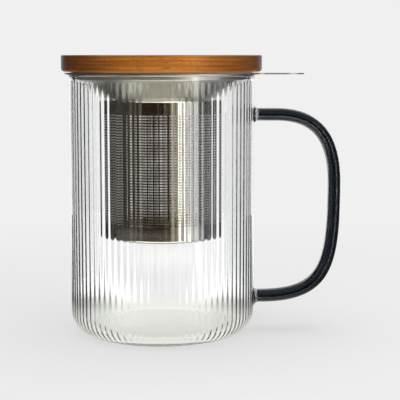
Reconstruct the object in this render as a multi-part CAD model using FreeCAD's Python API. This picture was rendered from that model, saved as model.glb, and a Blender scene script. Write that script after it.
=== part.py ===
"""Lidded tea mug with a lift-out infuser.

A ribbed clear glass mug with a smoked glass handle, a steel infuser whose flange rests on the
mug's rim, and a round wooden lid with a silicone seal that sits in the infuser's collar.
Millimetres, +Z up. The origin is on the mug's axis, on the plane that its foot stands on.
The handle and the infuser's lift tab point along +X.
"""
import FreeCAD, Part
import math
import os

# Glass mug
mug_radius = 43.0
mug_height = 121.2
wall = 2.6
floor_thickness = 3.2
heel_radius = 10.0
inner_heel_radius = 8.0
rim_rounding = 0.9
rim_swell = 0.4
rim_blend_radius = 1.2

# Low rounded ribs down the inside of the mug's wall
rib_count = 84
rib_phase = 0.17
rib_height = 0.12
rib_width = 2.5
rib_root = 0.5
rib_rim_margin = 2.8
rib_lift_radius = 9.0
rib_lift_turn = 18.0
rib_heel_turn = 58.0
rib_runout = 4.0

# Glass handle: a rod of oval section, thin in the plane of its curve
handle_thickness = 6.0
handle_breadth = 11.0
handle_reach = 80.9
handle_top_height = 102.5
handle_bottom_height = 16.5
handle_widest_height = 69.6
handle_top_straight = 8.3
handle_bottom_straight = 1.0
handle_top_across = 0.52
handle_top_fullness = 0.84
handle_bottom_across = 0.93
handle_bottom_fullness = 0.72

# Clear glass beads that join the handle to the mug
bead_length = 1.8
bead_bite = 1.0
bead_root_spread = 1.5
bead_waist_spread = 0.9
bead_end_spread = 0.3
bead_waist_sag = 0.4
upper_bead_sag = 0.0
lower_bead_sag = 0.9

# Infuser
sheet = 0.5
collar_clearance = 0.7
flange_overhang = 2.0
collar_wall_height = 1.9
collar_depth = 11.8
mouth_bend_radius = 1.0
wall_bend_radius = 1.5
neck_bend_radius = 1.2
neck_height = 1.9
basket_radius = 27.0
basket_drop = 75.7
sleeve_sheet = 0.4
base_bend_radius = 1.2
base_height = 4.6
tab_reach = 66.3
tab_width = 18.0
tab_root_radius = 5.0

# Holes in the infuser's sleeve and base
hole_diameter = 1.6
hole_pitch = 3.4
sleeve_top_margin = 4.8
sleeve_bottom_margin = 3.6
seam_strip = 4.2
seam_angle = -122.0
base_hole_margin = 1.6

# Wooden lid and its seal
lid_radius = 46.5
lid_thickness = 7.6
top_board_thickness = 3.5
lid_top_rounding = 0.6
lid_bottom_rounding = 1.5
plug_radius = 36.0
plug_depth = 4.0
plug_lip = 0.8
plug_lip_height = 1.0
plug_lip_chamfer = 0.5
seal_lip_radius = 42.0
seal_lip_thickness = 0.7
seal_sleeve = 1.4
seal_clearance = 0.35
seal_rib_height = 0.9

# Sizes and places that follow from the ones above
mug_bore = mug_radius - wall
flange_top = mug_height + sheet
flange_radius = mug_radius + flange_overhang
collar_radius = mug_bore - collar_clearance
neck_top = mug_height - collar_depth
sleeve_top = neck_top - neck_height
base_bottom = mug_height - basket_drop
sleeve_bottom = base_bottom + base_height
lid_bottom = flange_top + seal_lip_thickness
lid_top = lid_bottom + lid_thickness
glue_line = lid_top - top_board_thickness
plug_bottom = lid_bottom - plug_depth
handle_root = mug_radius + bead_length

ORIGIN = FreeCAD.Vector(0, 0, 0)
ACROSS = FreeCAD.Vector(1, 0, 0)
BACK = FreeCAD.Vector(0, 1, 0)
UP = FreeCAD.Vector(0, 0, 1)


def on_plane(p):
    """A (radius, height) pair as a point of the XZ plane."""
    return FreeCAD.Vector(p[0], 0, p[1])


def line(a, b):
    return Part.makeLine(on_plane(a), on_plane(b))


def closed_lines(corners):
    """The straight edges of a closed polygon in the XZ plane."""
    return [line(corners[i - 1], corners[i]) for i in range(len(corners))]


def bend(centre, radius, start, end):
    """An arc of the XZ plane round a centre, from one angle to another in degrees."""
    stops = []
    for degrees in (start, (start + end) / 2, end):
        turn = math.radians(degrees)
        stops.append((centre[0] + radius * math.cos(turn), centre[1] + radius * math.sin(turn)))
    return Part.Arc(*[on_plane(p) for p in stops]).toShape()


def turned(edges):
    """The solid that a closed outline in the XZ plane makes round the Z axis."""
    outline = Part.Wire(Part.__sortEdges__(edges))
    return Part.Face(outline).revolve(ORIGIN, UP, 360)


def ring(inner, outer, bottom, top):
    """A plain ring with a rectangular section."""
    return turned(closed_lines([(inner, bottom), (outer, bottom), (outer, top), (inner, top)]))


def heading(a, b):
    """The unit direction from one (radius, height) pair to another."""
    length = math.hypot(b[0] - a[0], b[1] - a[1])
    return (b[0] - a[0]) / length, (b[1] - a[1]) / length


def moved_right(corners, distance):
    """The corners of a path moved sideways, to the right of its direction of travel."""
    headings = [heading(corners[i], corners[i + 1]) for i in range(len(corners) - 1)]
    moved = []
    for i, corner in enumerate(corners):
        before = headings[max(i - 1, 0)]
        after = headings[min(i, len(headings) - 1)]
        stretch = distance / (1 + before[0] * after[0] + before[1] * after[1])
        side = (before[1] + after[1], -before[0] - after[0])
        moved.append((corner[0] + side[0] * stretch, corner[1] + side[1] * stretch))
    return moved


def rounded_path(corners, radii):
    """The edges of an open path whose inner corners are rounded to the given radii."""
    edges = []
    last = corners[0]
    for i, radius in enumerate(radii, start=1):
        before = heading(corners[i - 1], corners[i])
        after = heading(corners[i], corners[i + 1])
        half_turn = math.acos(before[0] * after[0] + before[1] * after[1]) / 2
        cut = radius * math.tan(half_turn)
        rise = radius / math.cos(half_turn) - radius
        inward = heading((0, 0), (after[0] - before[0], after[1] - before[1]))
        start = (corners[i][0] - before[0] * cut, corners[i][1] - before[1] * cut)
        middle = (corners[i][0] + inward[0] * rise, corners[i][1] + inward[1] * rise)
        end = (corners[i][0] + after[0] * cut, corners[i][1] + after[1] * cut)
        edges.append(line(last, start))
        edges.append(Part.Arc(on_plane(start), on_plane(middle), on_plane(end)).toShape())
        last = end
    edges.append(line(last, corners[-1]))
    return edges


def pressed_sheet(corners, radii, thickness):
    """A turned sheet part, from the path of its outer face and the radius of each bend."""
    inside = moved_right(corners, thickness)
    inside_radii = []
    for i, radius in enumerate(radii, start=1):
        before = heading(corners[i - 1], corners[i])
        after = heading(corners[i], corners[i + 1])
        left_turn = before[0] * after[1] > before[1] * after[0]
        inside_radii.append(radius + thickness if left_turn else radius - thickness)
    edges = rounded_path(corners, radii) + rounded_path(inside, inside_radii)
    edges.append(line(corners[0], inside[0]))
    edges.append(line(corners[-1], inside[-1]))
    return turned(edges)


def smooth_glass():
    """The mug before its ribs: flat foot, heel, wall, swollen round rim, bore and floor."""
    heel = (mug_radius - heel_radius, heel_radius)
    rim_outer = (mug_radius + rim_swell - rim_rounding, mug_height - rim_rounding)
    blend_reach = rim_rounding + rim_blend_radius
    blend_turn = math.acos((blend_reach - rim_swell) / blend_reach)
    blend = (mug_radius + rim_blend_radius, rim_outer[1] - blend_reach * math.sin(blend_turn))
    rim_inner = (mug_bore + rim_rounding, mug_height - rim_rounding)
    inner_heel = (mug_bore - inner_heel_radius, floor_thickness + inner_heel_radius)
    return turned([
        line((0, 0), (heel[0], 0)),
        bend(heel, heel_radius, -90, 0),
        line((mug_radius, heel_radius), (mug_radius, blend[1])),
        bend(blend, rim_blend_radius, 180, 180 - math.degrees(blend_turn)),
        bend(rim_outer, rim_rounding, -math.degrees(blend_turn), 90),
        line((rim_outer[0], mug_height), (rim_inner[0], mug_height)),
        bend(rim_inner, rim_rounding, 90, 180),
        line((mug_bore, rim_inner[1]), (mug_bore, inner_heel[1])),
        bend(inner_heel, inner_heel_radius, 0, -90),
        line((inner_heel[0], floor_thickness), (0, floor_thickness)),
        line((0, floor_thickness), (0, 0)),
    ])


def rib_section():
    """A rib's section at the top of the inner heel: its rounded crest, closed inside the wall."""
    heel_top = floor_thickness + inner_heel_radius
    crest = FreeCAD.Vector(mug_bore - rib_height, 0, heel_top)
    feet = [FreeCAD.Vector(mug_bore, side * rib_width / 2, heel_top) for side in (-1, 1)]
    roots = [foot + ACROSS * rib_root for foot in feet]
    return Part.Face(Part.Wire([
        Part.Arc(feet[0], crest, feet[1]).toShape(),
        Part.makeLine(feet[1], roots[1]),
        Part.makeLine(roots[1], roots[0]),
        Part.makeLine(roots[0], feet[0]),
    ]))


def rib():
    """One rib: down the wall and round the inner heel; it dives into the glass at both ends."""
    section = rib_section()
    lift_height = math.sqrt((rib_lift_radius + rib_height) ** 2 - rib_lift_radius**2)
    heel_axis = FreeCAD.Vector(mug_bore - inner_heel_radius, 0, floor_thickness + inner_heel_radius)
    wall_length = mug_height - rib_rim_margin - lift_height - heel_axis.z
    top_section = section.translated(UP * wall_length)
    lift_axis = FreeCAD.Vector(mug_bore + rib_lift_radius, 0, heel_axis.z + wall_length)
    turn = math.radians(rib_heel_turn)
    runout = FreeCAD.Vector(-math.sin(turn), 0, -math.cos(turn)) * rib_runout
    return section.extrude(UP * wall_length).fuse([
        top_section.revolve(lift_axis, BACK, rib_lift_turn),
        section.revolve(heel_axis, BACK, rib_heel_turn),
        section.rotated(heel_axis, BACK, rib_heel_turn).extrude(runout),
    ])


def glass_body():
    """The ribbed glass. The phase is the share of a rib's pitch from +X to the first rib."""
    first = rib()
    step = 360 / rib_count
    ribs = [first.rotated(ORIGIN, UP, (i + rib_phase) * step) for i in range(rib_count)]
    return smooth_glass().fuse(ribs)


def rod_section(reach, height, spread):
    """The handle's oval section in the YZ plane, grown on every side by a spread."""
    centre = FreeCAD.Vector(reach, 0, height)
    side = centre + BACK * (handle_breadth / 2 + spread)
    top = centre + UP * (handle_thickness / 2 + spread)
    return Part.Wire(Part.Ellipse(side, top, centre).toShape())


def handle_path():
    """The handle's centreline: out, down through two full curves, and back to the mug."""
    middle = (handle_reach, handle_widest_height)
    curves = []
    ends = []
    for height, straight, across, fullness in (
        (handle_top_height, handle_top_straight, handle_top_across, handle_top_fullness),
        (handle_bottom_height, handle_bottom_straight, handle_bottom_across, handle_bottom_fullness),
    ):
        start = (handle_root + straight, height)
        poles = [
            start,
            (start[0] + (handle_reach - start[0]) * across, height),
            (handle_reach, middle[1] + (height - middle[1]) * fullness),
            middle,
        ]
        curve = Part.BezierCurve()
        curve.setPoles([on_plane(p) for p in poles])
        curves.append(curve.toShape())
        ends.append(line((handle_root, height), start))
    return Part.Wire(Part.__sortEdges__([ends[0], curves[0], curves[1], ends[1]]))


def handle():
    section = rod_section(handle_root, handle_top_height, 0)
    return handle_path().makePipeShell([section], True, False)


def handle_bead(height, sag, glass):
    """The clear bead between one end of the handle and the mug's wall, hanging lower by its sag."""
    root = mug_radius - bead_bite
    sections = []
    for reach, spread, hang in (
        (root, bead_root_spread, sag),
        ((root + handle_root) / 2, bead_waist_spread, bead_waist_sag * sag),
        (handle_root, bead_end_spread, 0),
    ):
        sections.append(rod_section(reach, height - hang, spread + hang))
    return Part.makeLoft(sections, True, False).cut(glass)


def lift_tab():
    """The flat tongue that grows out of the flange, with a round end and filleted roots."""
    half = tab_width / 2
    fillet_centre = flange_radius + tab_root_radius
    side = half + tab_root_radius
    meet = math.sqrt(fillet_centre**2 - side**2)
    touch = (meet * flange_radius / fillet_centre, side * flange_radius / fillet_centre)
    start_angle = math.atan2(side, meet) + math.pi
    middle_angle = (start_angle + math.radians(270)) / 2
    middle = (
        meet + tab_root_radius * math.cos(middle_angle),
        side + tab_root_radius * math.sin(middle_angle),
    )
    root = touch[0] - flange_overhang / 2
    outline = [(root, touch[1]), touch, middle, (meet, half), (tab_reach - half, half)]
    upper = [FreeCAD.Vector(x, y, mug_height) for x, y in outline]
    lower = [FreeCAD.Vector(x, -y, mug_height) for x, y in outline]
    edges = [Part.makeLine(lower[0], upper[0])]
    for row in (upper, lower):
        edges.append(Part.makeLine(row[0], row[1]))
        edges.append(Part.Arc(row[1], row[2], row[3]).toShape())
        edges.append(Part.makeLine(row[3], row[4]))
    tip = FreeCAD.Vector(tab_reach, 0, mug_height)
    edges.append(Part.Arc(upper[4], tip, lower[4]).toShape())
    return Part.Face(Part.Wire(Part.__sortEdges__(edges))).extrude(UP * sheet)


def infuser_collar():
    """Flange, wall, funnel and neck pressed in one sheet, with the lift tab."""
    corners = [
        (flange_radius, mug_height),
        (collar_radius, mug_height),
        (collar_radius, mug_height - collar_wall_height),
        (basket_radius, neck_top),
        (basket_radius, sleeve_top),
    ]
    radii = [mouth_bend_radius, wall_bend_radius, neck_bend_radius]
    return pressed_sheet(corners, radii, sheet).fuse(lift_tab()).removeSplitter()


def sleeve_hole(angle, height):
    """A cutter through one side of the sleeve."""
    start = FreeCAD.Vector(basket_radius - 2 * sleeve_sheet, 0, height)
    cutter = Part.makeCylinder(hole_diameter / 2, 3 * sleeve_sheet, start, ACROSS)
    return cutter.rotated(ORIGIN, UP, angle)


def infuser_sleeve():
    """The rolled perforated sheet, plain at both ends and along its welded seam."""
    tube = ring(basket_radius - sleeve_sheet, basket_radius, sleeve_bottom, sleeve_top)
    bottom = sleeve_bottom + sleeve_bottom_margin
    span = sleeve_top - sleeve_top_margin - bottom
    rows = max(1, int(span / hole_pitch))
    strip = math.degrees(seam_strip / basket_radius)
    columns = max(1, int(math.radians(360 - strip) * basket_radius / hole_pitch))
    holes = []
    for row in range(rows + 1):
        for column in range(columns):
            angle = seam_angle + strip / 2 + (column + 0.5) * (360 - strip) / columns
            holes.append(sleeve_hole(angle, bottom + row * span / rows))
    return tube.cut(holes)


def base_holes():
    """Cutters on rings round the middle of the infuser's base."""
    reach = basket_radius - base_bend_radius - base_hole_margin
    rings = max(1, int(reach / hole_pitch))
    cutters = []
    for number in range(rings + 1):
        radius = number * reach / rings
        count = max(1, int(2 * math.pi * radius / hole_pitch))
        for i in range(count):
            turn = 2 * math.pi * i / count
            start = FreeCAD.Vector(radius * math.cos(turn), radius * math.sin(turn), base_bottom)
            start = start - UP * sleeve_sheet
            cutters.append(Part.makeCylinder(hole_diameter / 2, 3 * sleeve_sheet, start))
    return cutters


def infuser_base():
    """The stamped cup that closes the sleeve, with a rounded edge and a perforated bottom."""
    corners = [(basket_radius, sleeve_bottom), (basket_radius, base_bottom), (0, base_bottom)]
    return pressed_sheet(corners, [base_bend_radius], sleeve_sheet).cut(base_holes())


def upper_board():
    """The top board of the lid, with a softly rounded top edge."""
    corner = (lid_radius - lid_top_rounding, lid_top - lid_top_rounding)
    return turned([
        line((0, glue_line), (lid_radius, glue_line)),
        line((lid_radius, glue_line), (lid_radius, corner[1])),
        bend(corner, lid_top_rounding, 0, 90),
        line((corner[0], lid_top), (0, lid_top)),
        line((0, lid_top), (0, glue_line)),
    ])


def lower_board():
    """The lower board of the lid, with a fuller rounding on its bottom edge."""
    corner = (lid_radius - lid_bottom_rounding, lid_bottom + lid_bottom_rounding)
    return turned([
        line((0, glue_line), (0, lid_bottom)),
        line((0, lid_bottom), (corner[0], lid_bottom)),
        bend(corner, lid_bottom_rounding, -90, 0),
        line((lid_radius, corner[1]), (lid_radius, glue_line)),
        line((lid_radius, glue_line), (0, glue_line)),
    ])


def lid_plug():
    """The turned plug glued under the boards, whose lip keeps the seal on."""
    lip = plug_radius + plug_lip
    lip_top = plug_bottom + plug_lip_height
    return turned(closed_lines([
        (0, plug_bottom),
        (lip - plug_lip_chamfer, plug_bottom),
        (lip, plug_bottom + plug_lip_chamfer),
        (lip, lip_top),
        (plug_radius, lip_top),
        (plug_radius, lid_bottom),
        (0, lid_bottom),
    ]))


def lid_seal():
    """The silicone seal: a flat lip under the lid and a sleeve with one rib round the plug."""
    sleeve_radius = plug_radius + seal_sleeve
    root = plug_radius + seal_sleeve / 2
    bottom = plug_bottom + plug_lip_height
    middle = (bottom + flange_top) / 2
    low = middle - seal_rib_height / 2
    high = middle + seal_rib_height / 2
    tip = collar_radius - sheet - seal_clearance
    lip = ring(plug_radius, seal_lip_radius, flange_top, lid_bottom)
    sleeve = ring(plug_radius, sleeve_radius, bottom, flange_top)
    rib_corners = [(root, low), (sleeve_radius, low), (tip, middle), (sleeve_radius, high), (root, high)]
    return lip.fuse([sleeve, turned(closed_lines(rib_corners))]).removeSplitter()


glass = glass_body()
pieces = {
    "glass_body": glass,
    "handle": handle(),
    "upper_handle_bead": handle_bead(handle_top_height, upper_bead_sag, glass),
    "lower_handle_bead": handle_bead(handle_bottom_height, lower_bead_sag, glass),
    "infuser_collar": infuser_collar(),
    "infuser_sleeve": infuser_sleeve(),
    "infuser_base": infuser_base(),
    "lid_upper_board": upper_board(),
    "lid_lower_board": lower_board(),
    "lid_plug": lid_plug(),
    "lid_seal": lid_seal(),
}
os.makedirs("parts", exist_ok=True)
for name, shape in pieces.items():
    shape.exportStep(f"parts/{name}.step")
    print(name, "solids", len(shape.Solids), "valid", shape.isValid(), "volume", round(shape.Volume, 1))
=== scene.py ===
"""Looks for the lidded glass tea mug with its infuser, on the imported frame. Metres, +Z up."""
import math

import bmesh
import bpy
import numpy as np
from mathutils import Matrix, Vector


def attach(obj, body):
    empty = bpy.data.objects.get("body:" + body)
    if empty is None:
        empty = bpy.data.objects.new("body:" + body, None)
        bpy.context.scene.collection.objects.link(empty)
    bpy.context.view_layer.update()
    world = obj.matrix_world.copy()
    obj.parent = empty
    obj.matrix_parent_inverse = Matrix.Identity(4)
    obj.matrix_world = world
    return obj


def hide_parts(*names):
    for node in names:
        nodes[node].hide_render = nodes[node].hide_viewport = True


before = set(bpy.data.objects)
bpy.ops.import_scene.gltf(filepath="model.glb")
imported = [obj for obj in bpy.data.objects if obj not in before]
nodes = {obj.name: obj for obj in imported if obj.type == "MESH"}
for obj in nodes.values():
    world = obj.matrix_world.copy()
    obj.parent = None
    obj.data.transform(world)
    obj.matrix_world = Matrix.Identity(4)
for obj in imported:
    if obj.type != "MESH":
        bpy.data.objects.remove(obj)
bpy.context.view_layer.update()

MM = 0.001

# Sizes shared with the solids, in millimetres
MUG_RADIUS, MUG_HEIGHT, WALL, FLOOR = 43.0, 121.2, 2.6, 3.2
HEEL, INNER_HEEL = 10.0, 8.0
RIM, RIM_SWELL, RIM_BLEND = 0.9, 0.4, 1.2
RIBS, RIB_HEIGHT, RIB_WIDTH, RIB_RIM_MARGIN, RIB_LIFT = 84, 0.16, 3.0, 2.8, 9.0
RIB_PHASE = 0.17
RIB_HEEL_TURN = 58.0
ROD_THICK, ROD_BROAD = 6.0, 11.0
ROD_ROOT, ROD_REACH, ROD_WIDEST = 44.8, 80.9, 69.6
ROD_ENDS = ((102.5, 8.3, 0.52, 0.84), (16.5, 1.0, 0.93, 0.72))
BASKET, SLEEVE_SHEET = 27.0, 0.25
SLEEVE_LOW, SLEEVE_HIGH, BASE_LOW, BASE_BEND = 50.1, 107.5, 45.5, 1.2
SEAM_STRIP, SEAM_ANGLE = 4.2, -122.0
HOLE_PITCH, HOLE_SIZE = 1.22, 0.66
HOLES_LOW, HOLES_HIGH = 52.9, 103.5
FOOT_RINGS, FLOOR_RINGS = (0, 10.0, 20.0, 29.0), (24.0, 12.0, 0)
FOOT_TOUCH = 0.01
ROD_CORNERS, ROD_STEPS, ROD_LEAD, ROD_LEAST_STEP = 32, 44, 4, 0.2
BEAD_SINK, BEAD_FLARE, BEAD_DOME, LOWER_BEAD_SAG = 1.05, 1.5, 0.3, 0.9
BASE_FLAT_INSET, BASE_PLAIN_RING, BASE_CORNERS = 0.6, 1.0, 160

# Heights in metres between which the spun steel turns matt towards its flange
MATT_FROM, MATT_TO = 0.1175, 0.1195


# Meshes

def mesh_object(name, verts, faces):
    """A smooth mesh object from corners in millimetres."""
    mesh = bpy.data.meshes.new(name)
    mesh.from_pydata((np.asarray(verts, float) * MM).tolist(), [], [tuple(f) for f in faces])
    mesh.validate()
    mesh.polygons.foreach_set("use_smooth", [True] * len(mesh.polygons))
    obj = bpy.data.objects.new(name, mesh)
    bpy.context.scene.collection.objects.link(obj)
    return obj


def outward(obj):
    """Turns the faces of every closed shell of the mesh outwards."""
    bm = bmesh.new()
    bm.from_mesh(obj.data)
    bmesh.ops.recalc_face_normals(bm, faces=bm.faces)
    bm.to_mesh(obj.data)
    bm.free()


def sharpen(obj, degrees=40):
    """Keeps the edges that turn by more than an angle crisp under smooth shading."""
    bm = bmesh.new()
    bm.from_mesh(obj.data)
    for edge in bm.edges:
        if len(edge.link_faces) == 2 and edge.calc_face_angle() > math.radians(degrees):
            edge.smooth = False
    bm.to_mesh(obj.data)
    bm.free()


def arc_points(centre, radius, start, end, steps):
    """Points of an arc in the (radius, height) plane with the normal's direction at each."""
    points = []
    for turn in np.radians(np.linspace(start, end, steps + 1)):
        side = (math.cos(turn), math.sin(turn))
        points.append((centre[0] + radius * side[0], centre[1] + radius * side[1], *side))
    return points


def lathe(rows, turns, rises=None):
    """Verts and faces of a turned form. Rows are (radius, height, normal r, normal z, rib share)."""
    columns = len(turns)
    cos, sin = np.cos(turns), np.sin(turns)
    rises = np.zeros(columns) if rises is None else rises
    verts, starts = [], []
    for r, z, nr, nz, share in rows:
        starts.append(len(verts))
        if r == 0:
            verts.append((0, 0, z))
            continue
        radius, height = r + share * rises * nr, z + share * rises * nz
        verts.extend(zip(radius * cos, radius * sin, height))
    faces = []
    for i in range(len(rows)):
        k = (i + 1) % len(rows)
        a, b = starts[i], starts[k]
        for c in range(columns):
            d = (c + 1) % columns
            if rows[i][0] == 0 and rows[k][0] == 0:
                break
            if rows[i][0] == 0:
                faces.append((a, b + d, b + c))
            elif rows[k][0] == 0:
                faces.append((a + c, a + d, b))
            else:
                faces.append((a + c, a + d, b + d, b + c))
    return verts, faces


def even_turns(columns):
    """Angles in equal steps round a circle."""
    return np.linspace(0, 2 * math.pi, columns, endpoint=False)


def glass_rows():
    """The mug's section as rows for the lathe, from the middle of the foot round to the floor."""
    heel = (MUG_RADIUS - HEEL, HEEL)
    rows = [(r, 0, 0, -1, 0) for r in FOOT_RINGS]
    rows += [(*p, 0) for p in arc_points(heel, HEEL, -90, 0, 18)]
    top = MUG_HEIGHT - RIM
    reach = RIM + RIM_BLEND
    turn = math.acos((reach - RIM_SWELL) / reach)
    blend = (MUG_RADIUS + RIM_BLEND, top - reach * math.sin(turn))
    rows += [(MUG_RADIUS, z, 1, 0, 0) for z in np.linspace(HEEL, blend[1], 8)[1:-1]]
    rows += [(*p, 0) for p in arc_points(blend, RIM_BLEND, 180, 180 - math.degrees(turn), 5)[:-1]]
    rim_outer = (MUG_RADIUS + RIM_SWELL - RIM, top)
    bore = MUG_RADIUS - WALL
    rows += [(*p, 0) for p in arc_points(rim_outer, RIM, -math.degrees(turn), 90, 9)]
    rows += [(*p, 0) for p in arc_points((bore + RIM, top), RIM, 90, 180, 6)]
    rise = math.sqrt((RIB_LIFT + RIB_HEIGHT) ** 2 - RIB_LIFT**2)
    lift = MUG_HEIGHT - RIB_RIM_MARGIN - rise
    for step in np.linspace(rise, 0, 7):
        left = math.sqrt((RIB_LIFT + RIB_HEIGHT) ** 2 - step**2) - RIB_LIFT
        rows.append((bore, lift + step, -1, 0, max(0.0, left / RIB_HEIGHT)))
    inner = (bore - INNER_HEEL, FLOOR + INNER_HEEL)
    rows += [(bore, z, -1, 0, 1) for z in np.linspace(lift, inner[1], 10)[1:-1]]
    fade = math.degrees(math.acos((INNER_HEEL - RIB_HEIGHT) / INNER_HEEL))
    for r, z, nr, nz in arc_points(inner, INNER_HEEL, 0, -90, 20):
        past = -math.degrees(math.atan2(nz, nr)) - RIB_HEEL_TURN
        share = 1.0
        if past > 0:
            left = INNER_HEEL - (INNER_HEEL - RIB_HEIGHT) / math.cos(math.radians(min(past, fade)))
            share = max(0.0, left / RIB_HEIGHT)
        rows.append((r, z, -nr, -nz, share))
    rows += [(r, FLOOR, 0, 1, 0) for r in FLOOR_RINGS]
    return rows


def make_glass_body():
    """Smooth outside, with low rounded ribs down the inside of the wall."""
    pitch = 2 * math.pi / RIBS
    half = RIB_WIDTH / 2 / (MUG_RADIUS - WALL)
    offsets = np.linspace(-pitch / 2, pitch / 2, 12, endpoint=False)
    crests = 0.5 * (1 + np.cos(np.pi * np.clip(offsets / half, -1, 1)))
    turns = (np.arange(RIBS)[:, None] * pitch + offsets[None, :] + RIB_PHASE * pitch).ravel()
    rises = np.tile(crests * RIB_HEIGHT, RIBS)
    verts, faces = lathe(glass_rows(), turns, rises)
    obj = mesh_object("mug_glass", verts, faces)
    outward(obj)
    return obj


def rod_ring(spread=0.0):
    """The handle's oval section as (across, up) points, grown by a spread."""
    points = []
    for turn in even_turns(ROD_CORNERS):
        across, up = ROD_BROAD / 2 + spread, ROD_THICK / 2 + spread
        points.append((across * math.cos(turn), up * math.sin(turn)))
    return points


def tube(sections):
    """Verts and faces of a closed form through rings of equal count, with flat ends."""
    count = len(sections[0])
    verts = [p for ring in sections for p in ring]
    faces = []
    for s in range(len(sections) - 1):
        for c in range(count):
            d = (c + 1) % count
            faces.append((s * count + c, s * count + d, (s + 1) * count + d, (s + 1) * count + c))
    for s, order in ((0, -1), (len(sections) - 1, 1)):
        middle = np.mean(np.array(sections[s]), axis=0)
        verts.append(tuple(middle))
        for c in range(count):
            d = (c + 1) % count
            edge = (s * count + c, s * count + d) if order == 1 else (s * count + d, s * count + c)
            faces.append((*edge, len(verts) - 1))
    return verts, faces


def rod_path():
    """The handle's centreline as (x, z) points with the path's direction at each."""
    runs = []
    for height, straight, across, fullness in ROD_ENDS:
        start = ROD_ROOT + straight
        poles = np.array([
            (start, height),
            (start + (ROD_REACH - start) * across, height),
            (ROD_REACH, ROD_WIDEST + (height - ROD_WIDEST) * fullness),
            (ROD_REACH, ROD_WIDEST),
        ])
        t = np.linspace(0, 1, ROD_STEPS)[:, None]
        run = (1 - t) ** 3 * poles[0] + 3 * (1 - t) ** 2 * t * poles[1]
        run = run + 3 * (1 - t) * t * t * poles[2] + t**3 * poles[3]
        lead = [(ROD_ROOT + straight * k / ROD_LEAD, height) for k in range(ROD_LEAD)]
        runs.append(np.vstack([lead, run]))
    points = np.vstack([runs[0], runs[1][::-1][1:]])
    keep = [0]
    for i in range(1, len(points)):
        if np.hypot(*(points[i] - points[keep[-1]])) > ROD_LEAST_STEP:
            keep.append(i)
    points = points[keep]
    along = np.gradient(points, axis=0)
    along /= np.linalg.norm(along, axis=1)[:, None]
    along[0], along[-1] = (1, 0), (-1, 0)
    return points, along


def make_handle():
    """The oval rod along its centreline."""
    points, along = rod_path()
    sections = []
    for (x, z), (dx, dz) in zip(points, along):
        sections.append([(x - u * dz, a, z + u * dx) for a, u in rod_ring()])
    obj = mesh_object("handle_rod", *tube(sections))
    outward(obj)
    sharpen(obj, 60)
    return obj


def make_bead(name, height, sag):
    """A clear bead that flares from the handle's end into the mug's wall, hanging by its sag."""
    sections = []
    for t in np.linspace(0, 1, 9):
        hang = sag * (1 - t) ** 1.5
        dome = BEAD_DOME * math.sqrt(max(0.0, 1 - t * t * 0.999))
        spread = hang + BEAD_FLARE * (1 - t) ** 1.6 + dome
        x = MUG_RADIUS - BEAD_SINK + t * (ROD_ROOT - MUG_RADIUS + BEAD_SINK)
        sections.append([(x, a, height - hang + u) for a, u in rod_ring(spread)])
    obj = mesh_object(name, *tube(sections))
    outward(obj)
    sharpen(obj, 60)
    return obj


def perforated(u_lines, v_lines, hole, place, inside):
    """A thin plate of square cells with a hole in each, bent by place(u, v, layer)."""
    nu, nv = len(u_lines), len(v_lines)
    verts, faces = [], []
    grid = {}

    def corner(i, j, layer):
        key = (i, j, layer)
        if key not in grid:
            grid[key] = len(verts)
            verts.append(place(u_lines[i], v_lines[j], layer))
        return grid[key]

    border = {}
    for i in range(nu - 1):
        for j in range(nv - 1):
            cu, cv = (u_lines[i] + u_lines[i + 1]) / 2, (v_lines[j] + v_lines[j + 1]) / 2
            if not inside(cu, cv):
                continue
            hu, hv = hole[0] / 2, hole[1] / 2
            rim = []
            for layer in (0, 1):
                at = len(verts)
                for su, sv in ((-1, -1), (1, -1), (1, 1), (-1, 1)):
                    verts.append(place(cu + su * hu, cv + sv * hv, layer))
                rim.append(at)
                ring = [corner(i, j, layer), corner(i + 1, j, layer),
                        corner(i + 1, j + 1, layer), corner(i, j + 1, layer)]
                for k in range(4):
                    m = (k + 1) % 4
                    faces.append((ring[k], ring[m], at + m, at + k))
            for k in range(4):
                m = (k + 1) % 4
                faces.append((rim[0] + k, rim[0] + m, rim[1] + m, rim[1] + k))
            for a, b in (((i, j), (i + 1, j)), ((i + 1, j), (i + 1, j + 1)),
                         ((i + 1, j + 1), (i, j + 1)), ((i, j + 1), (i, j))):
                if (b, a) in border:
                    del border[(b, a)]
                else:
                    border[(a, b)] = True
    return verts, faces, grid, border


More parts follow.
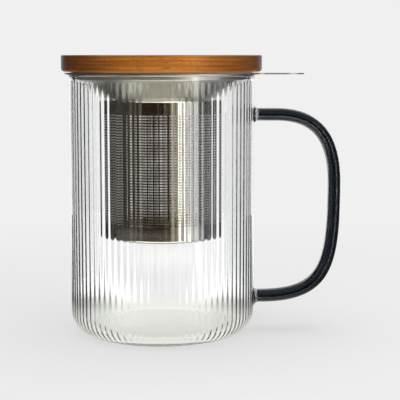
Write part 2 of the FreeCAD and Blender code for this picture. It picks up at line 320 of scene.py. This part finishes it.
def make_sleeve():
    """The rolled sheet: fine square holes, plain bands at both ends and a plain seam strip."""
    inner = BASKET - SLEEVE_SHEET
    strip = math.degrees(SEAM_STRIP / BASKET)
    columns = int(math.radians(360 - strip) * BASKET / HOLE_PITCH)
    turns = SEAM_ANGLE + strip / 2 + np.linspace(0, 360 - strip, columns + 1)
    rows = int((HOLES_HIGH - HOLES_LOW) / HOLE_PITCH)
    heights = np.linspace(HOLES_LOW, HOLES_HIGH, rows + 1)

    def place(u, v, layer):
        r = BASKET if layer == 0 else inner
        return r * math.cos(math.radians(u)), r * math.sin(math.radians(u)), v

    width = math.degrees(HOLE_SIZE / BASKET)
    verts, faces, grid, _ = perforated(
        turns, heights, (width, HOLE_SIZE), place, lambda u, v: True)
    strip_turns = np.linspace(turns[-1], turns[0] + 360, 7)
    levels = [SLEEVE_LOW, *heights, SLEEVE_HIGH]

    def added(u, v):
        verts.extend([place(u, v, 0), place(u, v, 1)])
        return len(verts) - 2, len(verts) - 1

    edge = [{}, {}]
    for k, j in ((0, 0), (1, rows)):
        v = SLEEVE_LOW if k == 0 else SLEEVE_HIGH
        for i in range(columns + 1):
            edge[k][i] = added(turns[i], v)
        for i in range(columns):
            for layer in (0, 1):
                faces.append((grid[(i, j, layer)], grid[(i + 1, j, layer)],
                              edge[k][i + 1][layer], edge[k][i][layer]))
            faces.append((edge[k][i][0], edge[k][i + 1][0], edge[k][i + 1][1], edge[k][i][1]))
    strips = []
    for s, u in enumerate(strip_turns):
        if s in (0, len(strip_turns) - 1):
            i = columns if s == 0 else 0
            column = [edge[0][i]]
            column += [(grid[(i, j, 0)], grid[(i, j, 1)]) for j in range(rows + 1)]
            column.append(edge[1][i])
        else:
            column = [added(u, v) for v in levels]
        strips.append(column)
    for s in range(len(strips) - 1):
        a, b = strips[s], strips[s + 1]
        for j in range(len(levels) - 1):
            for layer in (0, 1):
                faces.append((a[j][layer], b[j][layer], b[j + 1][layer], a[j + 1][layer]))
        for j in (0, len(levels) - 1):
            faces.append((a[j][0], b[j][0], b[j][1], a[j][1]))
    obj = mesh_object("infuser_mesh_sleeve", verts, faces)
    outward(obj)
    sharpen(obj, 30)
    return obj


def mark_skins(obj):
    """Outer skin, hole walls and inner skin take the first, second and third material."""
    middle = (BASKET - SLEEVE_SHEET / 2) * MM
    for face in obj.data.polygons:
        off = math.hypot(face.center.x, face.center.y) - middle
        if abs(off) < 0.1 * SLEEVE_SHEET * MM:
            face.material_index = 1
        else:
            face.material_index = 0 if off > 0 else 2


def make_infuser_base():
    """The pressed cup: a perforated floor inside a plain rounded rim."""
    reach = BASKET - BASE_BEND - BASE_FLAT_INSET
    grid_reach = reach - BASE_PLAIN_RING
    cells = math.floor(grid_reach / HOLE_PITCH)
    lines = np.arange(-cells, cells + 1) * HOLE_PITCH
    top = BASE_LOW + SLEEVE_SHEET

    def place(u, v, layer):
        return u, v, BASE_LOW if layer == 0 else top

    def inside(u, v):
        return math.hypot(u, v) + HOLE_PITCH * 0.75 < grid_reach

    verts, faces, grid, border = perforated(lines, lines, (HOLE_SIZE, HOLE_SIZE), place, inside)
    obj = mesh_object("infuser_mesh_base", verts, faces)
    bm = bmesh.new()
    bm.from_mesh(obj.data)
    plate = list(bm.verts)
    count = BASE_CORNERS
    for layer, z in ((0, BASE_LOW), (1, top)):
        ring = [bm.verts.new(Vector((reach * math.cos(2 * math.pi * k / count),
                                     reach * math.sin(2 * math.pi * k / count), z)) * MM)
                for k in range(count)]
        edges = [bm.edges.new((ring[k], ring[(k + 1) % count])) for k in range(count)]
        for a, b in border:
            va, vb = plate[grid[(*a, layer)]], plate[grid[(*b, layer)]]
            edges.append(bm.edges.get((va, vb)))
        bmesh.ops.triangle_fill(bm, edges=edges, use_beauty=True)
    bend = (BASKET - BASE_BEND, BASE_LOW + BASE_BEND)
    inner = BASKET - SLEEVE_SHEET
    rows = [(reach, BASE_LOW)]
    rows += [p[:2] for p in arc_points(bend, BASE_BEND, -90, 0, 9)]
    rows += [(BASKET, SLEEVE_LOW), (inner, SLEEVE_LOW)]
    rows += [p[:2] for p in arc_points(bend, BASE_BEND - SLEEVE_SHEET, 0, -90, 9)]
    rows += [(reach, top)]
    ring_verts, ring_faces = lathe([(r, z, 0, 0, 0) for r, z in rows], even_turns(count))
    made = [bm.verts.new(Vector(v) * MM) for v in ring_verts]
    for face in ring_faces:
        bm.faces.new([made[k] for k in face])
    bmesh.ops.remove_doubles(bm, verts=bm.verts, dist=1e-6)
    bm.to_mesh(obj.data)
    bm.free()
    obj.data.polygons.foreach_set("use_smooth", [True] * len(obj.data.polygons))
    outward(obj)
    sharpen(obj, 30)
    return obj


# Materials

CLEAR_IOR, SMOKED_IOR = 1.48, 1.5
MIXED_COLOUR = 2  # the colour result among a Mix node's outputs
WOOD_TONES = ((0.19, 0.05, 0.008), (0.47, 0.155, 0.022), (0.68, 0.27, 0.05))
# Dark end-grain colour, also used as painted shade on the lid's left and right ends
END_GRAIN_AND_SIDE_SHADE = (0.045, 0.017, 0.009)
RING_SWAY, RING_FLATNESS, RING_PHASE_PER_METRE = 0.004, 0.035, 3600.0


def new_material(name):
    """A material and its empty node tree."""
    material = bpy.data.materials.new(name)
    material.use_nodes = True
    tree = material.node_tree
    tree.nodes.clear()
    return material, tree


def add(tree, kind, inputs=(), **settings):
    """A node with its settings and inputs: a value, or an output socket to link."""
    node = tree.nodes.new(kind)
    for key, value in settings.items():
        setattr(node, key, value)
    for key, value in dict(inputs).items():
        if isinstance(value, bpy.types.NodeSocket):
            tree.links.new(value, node.inputs[key])
        else:
            node.inputs[key].default_value = value
    return node


def calculate(tree, operation, *values):
    """One step of arithmetic on numbers and sockets, as a socket."""
    return add(tree, "ShaderNodeMath", dict(enumerate(values)), operation=operation).outputs[0]


def mix_colours(tree, factor, first, second, blend_type="MIX"):
    """The second colour over the first by a factor, as a socket."""
    mixed = add(tree, "ShaderNodeMix", {
        "Factor": factor, "A": first, "B": second}, data_type="RGBA", blend_type=blend_type)
    return mixed.outputs[MIXED_COLOUR]


def ramp(tree, factor, stops):
    """Colours along a factor from 0 to 1, as a node."""
    node = add(tree, "ShaderNodeValToRGB", {"Fac": factor})
    elements = node.color_ramp.elements
    while len(elements) < len(stops):
        elements.new(0.5)
    for element, (position, colour) in zip(elements, stops):
        element.position = position
        element.color = (*colour, 1)
    return node


def object_noise(tree, scale, detail=4.0, size=(1, 1, 1), distortion=0.0, offset=(0, 0, 0)):
    """Noise in the frame's own metres, stretched by a factor along each axis."""
    place = add(tree, "ShaderNodeTexCoord")
    mapped = add(tree, "ShaderNodeMapping", {
        "Vector": place.outputs["Object"], "Scale": size, "Location": offset})
    return add(tree, "ShaderNodeTexNoise", {
        "Vector": mapped.outputs["Vector"], "Scale": scale, "Detail": detail,
        "Distortion": distortion})


def finish_material(tree, surface, volume=None):
    """Links the surface, and a volume if there is one, to the output."""
    out = add(tree, "ShaderNodeOutputMaterial", {"Surface": surface})
    if volume is not None:
        tree.links.new(volume, out.inputs["Volume"])


def lit_through(tree, shader, tint):
    """Lets lamps reach what stands behind glass: shadow rays pass it with a slight tint."""
    path = add(tree, "ShaderNodeLightPath")
    clear = add(tree, "ShaderNodeBsdfTransparent", {"Color": (*tint, 1)})
    return add(tree, "ShaderNodeMixShader", {
        0: path.outputs["Is Shadow Ray"], 1: shader, 2: clear.outputs[0]}).outputs[0]


def clear_glass():
    """Polished clear glass with the faint waviness of a moulded wall."""
    material, tree = new_material("clear_ribbed_glass")
    waves = object_noise(tree, 55.0, 2.0, size=(1, 1, 0.35))
    bump = add(tree, "ShaderNodeBump", {
        "Strength": 0.12, "Distance": 0.0006, "Height": waves.outputs["Fac"]})
    tint = ramp(tree, waves.outputs["Fac"], [
        (0.3, (0.988, 0.994, 0.99)), (0.7, (0.996, 0.998, 0.996))])
    shader = add(tree, "ShaderNodeBsdfPrincipled", {
        "Base Color": tint.outputs["Color"], "Roughness": 0.0, "IOR": CLEAR_IOR,
        "Transmission Weight": 1.0, "Normal": bump.outputs["Normal"]})
    finish_material(tree, lit_through(tree, shader.outputs[0], (0.97, 0.98, 0.975)))
    return material


def foot_glass():
    """The foot's underside: glass that lies on the table, half of it a pale diffuse layer that paints in
    the lit table seen through the foot.
    """
    material, tree = new_material("foot_glass_with_painted_table")
    waves = object_noise(tree, 90.0, 3.0)
    bump = add(tree, "ShaderNodeBump", {
        "Strength": 0.1, "Distance": 0.0005, "Height": waves.outputs["Fac"]})
    glass = add(tree, "ShaderNodeBsdfPrincipled", {
        "Base Color": (0.99, 0.995, 0.99, 1), "Roughness": 0.0, "IOR": CLEAR_IOR,
        "Transmission Weight": 1.0, "Normal": bump.outputs["Normal"]})
    # Painted view of the lit table: a pale diffuse half mixed into the glass
    tone = ramp(tree, waves.outputs["Fac"], [
        (0.3, (0.91, 0.91, 0.85)), (0.7, (0.94, 0.94, 0.88))])
    pale = add(tree, "ShaderNodeBsdfDiffuse", {"Color": tone.outputs["Color"]})
    shader = add(tree, "ShaderNodeMixShader", {0: 0.5, 1: glass.outputs[0], 2: pale.outputs[0]})
    finish_material(tree, lit_through(tree, shader.outputs[0], (0.97, 0.98, 0.975)))
    return material


def weld_glass():
    """Clear glass drawn out by hand where the handle was joined on, with uneven swirls."""
    material, tree = new_material("clear_weld_glass")
    swirls = object_noise(tree, 420.0, 3.0, size=(1, 1, 0.6), distortion=1.5)
    bump = add(tree, "ShaderNodeBump", {
        "Strength": 0.6, "Distance": 0.0005, "Height": swirls.outputs["Fac"]})
    tint = ramp(tree, swirls.outputs["Fac"], [
        (0.3, (0.95, 0.965, 0.95)), (0.7, (0.99, 0.995, 0.99))])
    shader = add(tree, "ShaderNodeBsdfPrincipled", {
        "Base Color": tint.outputs["Color"], "Roughness": 0.0, "IOR": CLEAR_IOR,
        "Transmission Weight": 1.0, "Normal": bump.outputs["Normal"]})
    finish_material(tree, lit_through(tree, shader.outputs[0], (0.9, 0.92, 0.91)))
    return material


def smoked_glass():
    """Blue-black smoked glass, lighter where it is thin."""
    material, tree = new_material("smoked_glass")
    streaks = object_noise(tree, 60.0, 3.0, size=(1, 1, 0.5), distortion=0.4)
    bump = add(tree, "ShaderNodeBump", {
        "Strength": 0.1, "Distance": 0.0005, "Height": streaks.outputs["Fac"]})
    tint = ramp(tree, streaks.outputs["Fac"], [
        (0.3, (0.62, 0.63, 0.63)), (0.7, (0.7, 0.7, 0.69))])
    shader = add(tree, "ShaderNodeBsdfPrincipled", {
        "Base Color": tint.outputs["Color"], "Roughness": 0.03, "IOR": SMOKED_IOR,
        "Transmission Weight": 1.0, "Normal": bump.outputs["Normal"]})
    dark = add(tree, "ShaderNodeVolumeAbsorption", {"Color": (0.3, 0.36, 0.42, 1), "Density": 640.0})
    finish_material(tree, lit_through(tree, shader.outputs[0], (0.25, 0.27, 0.29)),
                    dark.outputs[0])
    return material


def brushed_steel(name, lengthwise):
    """Stainless steel with fine brushing round the mug's axis, or along it."""
    material, tree = new_material(name)
    place = add(tree, "ShaderNodeTexCoord")
    split = add(tree, "ShaderNodeSeparateXYZ", {"Vector": place.outputs["Object"]})
    x, y, z = split.outputs["X"], split.outputs["Y"], split.outputs["Z"]
    squares = calculate(tree, "ADD", calculate(tree, "MULTIPLY", x, x), calculate(tree, "MULTIPLY", y, y))
    radius = calculate(tree, "SQRT", squares)
    turn = calculate(tree, "ARCTAN2", y, x)
    unrolled = calculate(tree, "MULTIPLY", turn, BASKET * MM)
    rolled = add(tree, "ShaderNodeCombineXYZ", {
        "X": unrolled, "Y": radius, "Z": z})
    stretch = (900.0, 60.0, 40.0) if lengthwise else (30.0, 2200.0, 2200.0)
    mapped = add(tree, "ShaderNodeMapping", {"Vector": rolled.outputs[0], "Scale": stretch})
    grain = add(tree, "ShaderNodeTexNoise", {
        "Vector": mapped.outputs["Vector"], "Scale": 1.0, "Detail": 3.0, "Roughness": 0.6})
    bump = add(tree, "ShaderNodeBump", {
        "Strength": 0.03 if lengthwise else 0.01, "Distance": 0.0001, "Height": grain.outputs["Fac"]})
    fine = add(tree, "ShaderNodeMapRange", {
        "Value": grain.outputs["Fac"], "From Min": 0.3, "From Max": 0.7,
        "To Min": 0.05, "To Max": 0.1})
    matt = add(tree, "ShaderNodeMapRange", {
        "Value": z, "From Min": MATT_FROM, "From Max": MATT_TO, "To Min": 0.0, "To Max": 0.35})
    rough = calculate(tree, "ADD", fine.outputs[0], matt.outputs[0])
    cloud = object_noise(tree, 45.0, 3.0)
    colour = ramp(tree, cloud.outputs["Fac"], [
        (0.3, (0.62, 0.6, 0.54)), (0.7, (0.7, 0.68, 0.62))])
    shader = add(tree, "ShaderNodeBsdfPrincipled", {
        "Base Color": colour.outputs["Color"], "Metallic": 1.0, "Roughness": rough,
        "Normal": bump.outputs["Normal"]})
    finish_material(tree, shader.outputs[0])
    return material


def etched_steel():
    """The matt walls of the etched holes."""
    material, tree = new_material("etched_steel")
    grain = object_noise(tree, 2500.0, 2.0)
    bump = add(tree, "ShaderNodeBump", {
        "Strength": 0.2, "Distance": 0.0001, "Height": grain.outputs["Fac"]})
    colour = ramp(tree, grain.outputs["Fac"], [(0.3, (0.72, 0.71, 0.69)), (0.7, (0.82, 0.81, 0.79))])
    shader = add(tree, "ShaderNodeBsdfPrincipled", {
        "Base Color": colour.outputs["Color"], "Metallic": 0.6, "Roughness": 0.5,
        "Normal": bump.outputs["Normal"]})
    finish_material(tree, shader.outputs[0])
    return material


def matt_steel_painted_glow():
    """The inside of the sleeve, pale with a painted glow that stands in for light falling in through its
    holes.
    """
    material, tree = new_material("matt_steel_painted_glow")
    grain = object_noise(tree, 700.0, 3.0)
    bump = add(tree, "ShaderNodeBump", {
        "Strength": 0.15, "Distance": 0.0001, "Height": grain.outputs["Fac"]})
    colour = ramp(tree, grain.outputs["Fac"], [(0.3, (0.6, 0.59, 0.56)), (0.7, (0.72, 0.7, 0.67))])
    # Painted glow: emission standing in for light that falls in through the holes
    glow = ramp(tree, grain.outputs["Fac"], [(0.3, (0.1, 0.097, 0.093)), (0.7, (0.16, 0.155, 0.148))])
    shader = add(tree, "ShaderNodeBsdfPrincipled", {
        "Base Color": colour.outputs["Color"], "Metallic": 0.8, "Roughness": 0.45,
        "Emission Color": glow.outputs["Color"], "Emission Strength": 1.0,
        "Normal": bump.outputs["Normal"]})
    finish_material(tree, shader.outputs[0])
    return material


def wood_figure(tree, heart):
    """The wood's figure, as a socket: rings round a far heart, fibres and patches."""
    place = add(tree, "ShaderNodeTexCoord")
    sway = object_noise(tree, 1.0, 3.0, size=(9.0, 16.0, 30.0), offset=heart)
    sway_size = calculate(tree, "MULTIPLY", sway.outputs["Fac"], RING_SWAY)
    split = add(tree, "ShaderNodeSeparateXYZ", {"Vector": place.outputs["Object"]})
    y = calculate(tree, "MULTIPLY_ADD", split.outputs["Y"], RING_FLATNESS, heart[1])
    z = calculate(tree, "ADD", split.outputs["Z"], heart[2])
    across = add(tree, "ShaderNodeCombineXYZ", {"X": y, "Y": z})
    distance = add(tree, "ShaderNodeVectorMath", {0: across.outputs[0]}, operation="LENGTH")
    swayed = calculate(tree, "ADD", distance.outputs["Value"], sway_size)
    wave = calculate(tree, "SINE", calculate(tree, "MULTIPLY", swayed, RING_PHASE_PER_METRE))
    band = add(tree, "ShaderNodeMapRange", {"Value": wave, "From Min": -1.0, "From Max": 1.0})
    fibre = object_noise(tree, 1.0, 5.0, size=(28.0, 90.0, 1500.0))
    patch = object_noise(tree, 1.0, 2.0, size=(14.0, 60.0, 160.0), offset=(3.1, 0.7, heart[2]))
    figure = calculate(tree, "MULTIPLY", band.outputs[0], 0.1)
    figure = calculate(tree, "MULTIPLY_ADD", fibre.outputs["Fac"], 0.55, figure)
    return calculate(tree, "MULTIPLY_ADD", patch.outputs["Fac"], 0.6, figure)


def end_grain_and_side_shade(tree):
    """How far a face looks along the grain, which runs along X: this darkens the end grain and also
    paints shade on the lid's left and right ends.
    """
    geometry = add(tree, "ShaderNodeNewGeometry")
    facing = add(tree, "ShaderNodeSeparateXYZ", {"Vector": geometry.outputs["True Normal"]})
    end = calculate(tree, "ABSOLUTE", facing.outputs["X"])
    share = add(tree, "ShaderNodeMapRange", {
        "Value": end, "From Min": 0.3, "From Max": 0.97, "To Min": 0.0, "To Max": 0.88})
    return share.outputs[0]


def lid_wood(name, heart, tone):
    """Reddish-brown oiled wood with pores, darker on its end grain, which also paints shade on the lid's
    left and right ends.
    """
    material, tree = new_material(name)
    figure = wood_figure(tree, heart)
    dark, middle, pale = [tuple(c * tone for c in colour) for colour in WOOD_TONES]
    colour = ramp(tree, figure, [(0.3, dark), (0.6, middle), (0.85, pale)])
    pores = object_noise(tree, 1.0, 2.0, size=(160.0, 2600.0, 2600.0)).outputs["Fac"]
    pore = ramp(tree, pores, [(0.3, (0.45, 0.45, 0.45)), (0.42, (1, 1, 1))])
    pored = mix_colours(tree, 1.0, colour.outputs["Color"], pore.outputs["Color"], "MULTIPLY")
    # Darker end grain, and painted shade where the lid's sides turn away from the light
    final = mix_colours(tree, end_grain_and_side_shade(tree), pored, (*END_GRAIN_AND_SIDE_SHADE, 1))
    bump = add(tree, "ShaderNodeBump", {"Strength": 0.35, "Distance": 0.00012, "Height": figure})
    bump = add(tree, "ShaderNodeBump", {
        "Strength": 0.3, "Distance": 0.0001, "Height": pores, "Normal": bump.outputs["Normal"]})
    rough = add(tree, "ShaderNodeMapRange", {
        "Value": pores, "From Min": 0.3, "From Max": 0.7, "To Min": 0.5, "To Max": 0.38})
    speckle = object_noise(tree, 1400.0, 2.0)
    oil = add(tree, "ShaderNodeBump", {
        "Strength": 0.5, "Distance": 0.00012, "Height": speckle.outputs["Fac"],
        "Normal": bump.outputs["Normal"]})
    shader = add(tree, "ShaderNodeBsdfPrincipled", {
        "Base Color": final, "Roughness": rough.outputs[0], "Normal": bump.outputs["Normal"],
        "Specular IOR Level": 0.1, "Coat Weight": 0.12, "Coat Roughness": 0.25,
        "Coat Normal": oil.outputs["Normal"]})
    finish_material(tree, shader.outputs[0])
    return material


def silicone():
    """Milky matt silicone of the lid's seal."""
    material, tree = new_material("seal_silicone")
    grain = object_noise(tree, 900.0, 2.0)
    colour = ramp(tree, grain.outputs["Fac"], [(0.3, (0.7, 0.7, 0.68)), (0.7, (0.78, 0.78, 0.76))])
    bump = add(tree, "ShaderNodeBump", {
        "Strength": 0.1, "Distance": 0.0001, "Height": grain.outputs["Fac"]})
    shader = add(tree, "ShaderNodeBsdfPrincipled", {
        "Base Color": colour.outputs["Color"], "Roughness": 0.45, "Subsurface Weight": 0.3,
        "Subsurface Radius": (0.002, 0.002, 0.002), "Normal": bump.outputs["Normal"]})
    finish_material(tree, shader.outputs[0])
    return material


def dress(obj, *materials):
    """Gives an object these materials alone."""
    obj.data.materials.clear()
    for material in materials:
        obj.data.materials.append(material)


# Camera, as the photograph was taken

SENSOR_WIDTH = 36.0
FOCAL_PIXELS, PICTURE_PIXELS = 1150.0, 400.0
CAMERA_PLACE, CAMERA_DOWN = (0.0178, -0.538, 0.130), 7.187

camera = bpy.data.objects.new("camera", bpy.data.cameras.new("camera"))
camera.data.sensor_width = SENSOR_WIDTH
camera.data.lens = SENSOR_WIDTH * FOCAL_PIXELS / PICTURE_PIXELS
camera.data.clip_start = 0.05
camera.location = CAMERA_PLACE
camera.rotation_euler = (math.radians(90 - CAMERA_DOWN), 0, 0)
bpy.context.scene.collection.objects.link(camera)
bpy.context.scene.camera = camera

# The mug

clear = clear_glass()
weld = weld_glass()
smoked = smoked_glass()
mug = make_glass_body()
dress(mug, clear, foot_glass())
for face in mug.data.polygons:
    face.material_index = 1 if face.center.z < FOOT_TOUCH * MM else 0
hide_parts("glass_body")
handle = make_handle()
dress(handle, smoked)
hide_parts("handle")
upper_bead = make_bead("bead_upper", ROD_ENDS[0][0], 0.0)
lower_bead = make_bead("bead_lower", ROD_ENDS[1][0], LOWER_BEAD_SAG)
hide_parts("upper_handle_bead")
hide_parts("lower_handle_bead")
for bead in (upper_bead, lower_bead):
    dress(bead, weld)
for piece, slot in ((mug, "clear_glass"), (upper_bead, "clear_glass"), (lower_bead, "clear_glass"),
                    (handle, "smoked_glass")):
    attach(piece, "mug")

# The infuser

spun_steel = brushed_steel("spun_steel", False)
rolled_steel = brushed_steel("rolled_steel", True)
etched = etched_steel()
sleeve = make_sleeve()
dress(sleeve, rolled_steel, etched, matt_steel_painted_glow())
mark_skins(sleeve)
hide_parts("infuser_sleeve")
base = make_infuser_base()
dress(base, spun_steel)
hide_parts("infuser_base")
for piece in (sleeve, base):
    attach(piece, "infuser")
dress(nodes["infuser_collar"], spun_steel)

# The lid

dress(nodes["lid_upper_board"], lid_wood("wood_upper", (0.0, 0.012, -0.075), 1.0))
dress(nodes["lid_lower_board"], lid_wood("wood_lower", (2.0, -0.021, -0.06), 0.95))
dress(nodes["lid_plug"], lid_wood("wood_plug", (5.0, 0.004, -0.05), 0.9))
dress(nodes["lid_seal"], silicone())

# The studio: pale floor and backdrop, soft lamps

BACKDROP = (0.871, 0.871, 0.871)
BRIGHT = (0.94, 0.94, 0.945)
FLAG = (0.012, 0.012, 0.014)
CEILING = (0.22, 0.28, 0.32)
CHARCOAL = (0.045, 0.043, 0.038)
OLIVE = (0.14, 0.13, 0.105)
BROWN = (0.03, 0.018, 0.012)
BEIGE = (0.29, 0.25, 0.18)
SAND = (0.5, 0.47, 0.38)
# Painted light on the floor under the mug, for glass and metal rays
PAINTED_UNDER_LIGHT = (0.8, 0.81, 0.76)
LIT = (3.6, 3.6, 3.55)
NEAR_LIT = (2.3, 2.25, 2.1)
PALE = (0.76, 0.77, 0.8)
GLOW = (1.45, 1.45, 1.46)
MIST = (0.72, 0.72, 0.74)
AMBIENT = (0.4, 0.4, 0.4)
FLOOR_RADIUS, FLOOR_DROP, FLOOR_CORNERS = 420, 0.02, 96  # radius and drop in millimetres
LAMP_TARGET = (0, 0, 0.06)

# Tones by azimuth in degrees: 0 in front of the mug, positive to the right, 180 behind
STUDIO = [
    (-180, BRIGHT), (-174, BRIGHT), (-171, MIST), (-168, BRIGHT), (-163, GLOW), (-152, GLOW),
    (-147, FLAG), (-104, FLAG),
    (-95, CHARCOAL), (-62, CHARCOAL),
    (-56, OLIVE), (-44, OLIVE), (-37, BROWN), (12, BROWN), (21, BEIGE), (32, SAND), (39, SAND),
    (41, LIT), (47, LIT), (49, PALE), (74, PALE), (82, FLAG),
    (147, FLAG), (152, GLOW), (163, GLOW), (168, BRIGHT), (171, MIST), (174, BRIGHT), (180, BRIGHT)]

# The same for rays that only passed through glass
CLEAR = [
    (-180, BRIGHT), (-174, BRIGHT), (-171, MIST), (-168, BRIGHT), (-163, GLOW), (-152, GLOW),
    (-147, FLAG), (-112, FLAG), (-106, BRIGHT), (106, BRIGHT), (112, FLAG), (147, FLAG), (152, GLOW),
    (163, GLOW), (168, BRIGHT), (171, MIST), (174, BRIGHT), (180, BRIGHT)]

# The same for the table near the mug: painted lamp light and painted flag shade on the floor
PAINTED_TABLE_TONES = [
    (-180, BRIGHT), (-148, BRIGHT), (-140, FLAG), (-104, FLAG), (-95, CHARCOAL), (-55, OLIVE),
    (-45, NEAR_LIT), (48, NEAR_LIT), (58, OLIVE), (90, OLIVE), (98, FLAG), (140, FLAG), (148, BRIGHT),
    (180, BRIGHT)]


def azimuth_shades(tree, x, towards, stops):
    """The tones of a list of azimuths in the direction (x, towards the camera), as a socket."""
    turn = calculate(tree, "ARCTAN2", x, towards)
    share = add(tree, "ShaderNodeMapRange", {
        "Value": turn, "From Min": -math.pi, "From Max": math.pi})
    return ramp(tree, share.outputs[0], [((a + 180) / 360, c) for a, c in stops]).outputs["Color"]


def glass_or_metal_ray(tree):
    """1 for a ray that comes from glass or polished metal, and 0 for the others."""
    path = add(tree, "ShaderNodeLightPath")
    return calculate(tree, "MAXIMUM", path.outputs["Is Glossy Ray"], path.outputs["Is Transmission Ray"])


def refracted_or_reflected(tree, refracted, reflected):
    """One colour for light that only passed through glass, another once it was reflected."""
    path = add(tree, "ShaderNodeLightPath")
    mirrored = calculate(tree, "GREATER_THAN", path.outputs["Glossy Depth"], 0.5)
    return mix_colours(tree, mirrored, refracted, reflected)


def studio_world():
    """Pale backdrop for the camera, and for glass and metal a studio with dark flags."""
    world = bpy.data.worlds.new("studio")
    bpy.context.scene.world = world
    world.use_nodes = True
    tree = world.node_tree
    tree.nodes.clear()
    path = add(tree, "ShaderNodeLightPath")
    place = add(tree, "ShaderNodeTexCoord")
    split = add(tree, "ShaderNodeSeparateXYZ", {"Vector": place.outputs["Generated"]})
    towards = calculate(tree, "MULTIPLY", split.outputs["Y"], -1.0)
    clear = azimuth_shades(tree, split.outputs["X"], towards, CLEAR)
    around = azimuth_shades(tree, split.outputs["X"], towards, STUDIO)
    around = refracted_or_reflected(tree, clear, around)
    height = add(tree, "ShaderNodeMapRange", {
        "Value": split.outputs["Z"], "From Min": 0.4, "From Max": 0.75})
    studio = mix_colours(tree, height.outputs[0], around, (*CEILING, 1))
    soft = mix_colours(tree, glass_or_metal_ray(tree), (*AMBIENT, 1), studio)
    shown = mix_colours(tree, path.outputs["Is Camera Ray"], soft, (*BACKDROP, 1))
    background = add(tree, "ShaderNodeBackground", {"Color": shown, "Strength": 1.0})
    add(tree, "ShaderNodeOutputWorld", {"Surface": background.outputs[0]})


def floor_material():
    """A pale matt surface that melts into the backdrop; to glass and metal rays it shows painted light
    and shade: the studio's tones, lamp light and flag shade near the mug, and light under the mug.
    """
    material, tree = new_material("floor_paper_and_painted_tones")
    place = add(tree, "ShaderNodeTexCoord")
    length = add(tree, "ShaderNodeVectorMath", {0: place.outputs["Object"]}, operation="LENGTH")
    distance = length.outputs["Value"]
    far = add(tree, "ShaderNodeMapRange", {
        "Value": distance, "From Min": 0.06, "From Max": 0.4, "To Min": 0.6},
        interpolation_type="SMOOTHSTEP")
    grain = object_noise(tree, 300.0, 3.0)
    paper = ramp(tree, grain.outputs["Fac"], [
        (0.3, (0.875, 0.875, 0.875)), (0.7, (0.895, 0.895, 0.895))])
    matt = add(tree, "ShaderNodeBsdfDiffuse", {"Color": paper.outputs["Color"]})
    glow = add(tree, "ShaderNodeEmission", {"Color": (*BACKDROP, 1), "Strength": 1.0})
    plain = add(tree, "ShaderNodeMixShader", {
        0: far.outputs[0], 1: matt.outputs[0], 2: glow.outputs[0]})
    split = add(tree, "ShaderNodeSeparateXYZ", {"Vector": place.outputs["Object"]})
    towards = calculate(tree, "MULTIPLY", split.outputs["Y"], -1.0)
    # Painted lamp light and painted flag shade on the table near the mug
    table = azimuth_shades(tree, split.outputs["X"], towards, PAINTED_TABLE_TONES)
    studio = azimuth_shades(tree, split.outputs["X"], towards, STUDIO)
    beyond = add(tree, "ShaderNodeMapRange", {
        "Value": distance, "From Min": 0.13, "From Max": 0.2})
    around = mix_colours(tree, beyond.outputs[0], table, studio)
    clear = azimuth_shades(tree, split.outputs["X"], towards, CLEAR)
    around = refracted_or_reflected(tree, clear, around)
    away = add(tree, "ShaderNodeMapRange", {
        "Value": distance, "From Min": 0.045, "From Max": 0.1})
    # Painted light under the mug, and painted studio light and shade around it, shown to glass and metal
    # rays
    tone = mix_colours(tree, away.outputs[0], (*PAINTED_UNDER_LIGHT, 1), around)
    painted_toned = add(tree, "ShaderNodeEmission", {"Color": tone, "Strength": 1.0})
    mixed = add(tree, "ShaderNodeMixShader", {
        0: glass_or_metal_ray(tree), 1: plain.outputs[0], 2: painted_toned.outputs[0]})
    finish_material(tree, mixed.outputs[0])
    return material


def area_lamp(name, place, size, power):
    """A soft lamp aimed at the mug, seen by no camera, reflected or refracted ray."""
    lamp = bpy.data.objects.new(name, bpy.data.lights.new(name, "AREA"))
    lamp.data.shape = "RECTANGLE"
    lamp.data.size, lamp.data.size_y = size
    lamp.data.energy = power
    lamp.location = place
    aim = Vector(LAMP_TARGET) - Vector(place)
    lamp.rotation_euler = aim.to_track_quat("-Z", "Y").to_euler()
    lamp.visible_camera = False
    lamp.visible_glossy = False
    lamp.visible_transmission = False
    bpy.context.scene.collection.objects.link(lamp)


def make_floor():
    """A flat disc just under the foot."""
    verts = [(0, 0, -FLOOR_DROP)]
    for turn in even_turns(FLOOR_CORNERS):
        verts.append((FLOOR_RADIUS * math.cos(turn), FLOOR_RADIUS * math.sin(turn), -FLOOR_DROP))
    faces = [(0, 1 + k, 1 + (k + 1) % FLOOR_CORNERS) for k in range(FLOOR_CORNERS)]
    return mesh_object("floor", verts, faces)


floor = make_floor()
dress(floor, floor_material())
studio_world()
area_lamp("overhead", (0.0, 0.0, 0.8), (0.7, 0.6), 3.2)
area_lamp("right_softbox", (0.566, -0.566, 0.2), (0.2, 0.6), 3.0)

bpy.context.scene.view_settings.view_transform = "Standard"
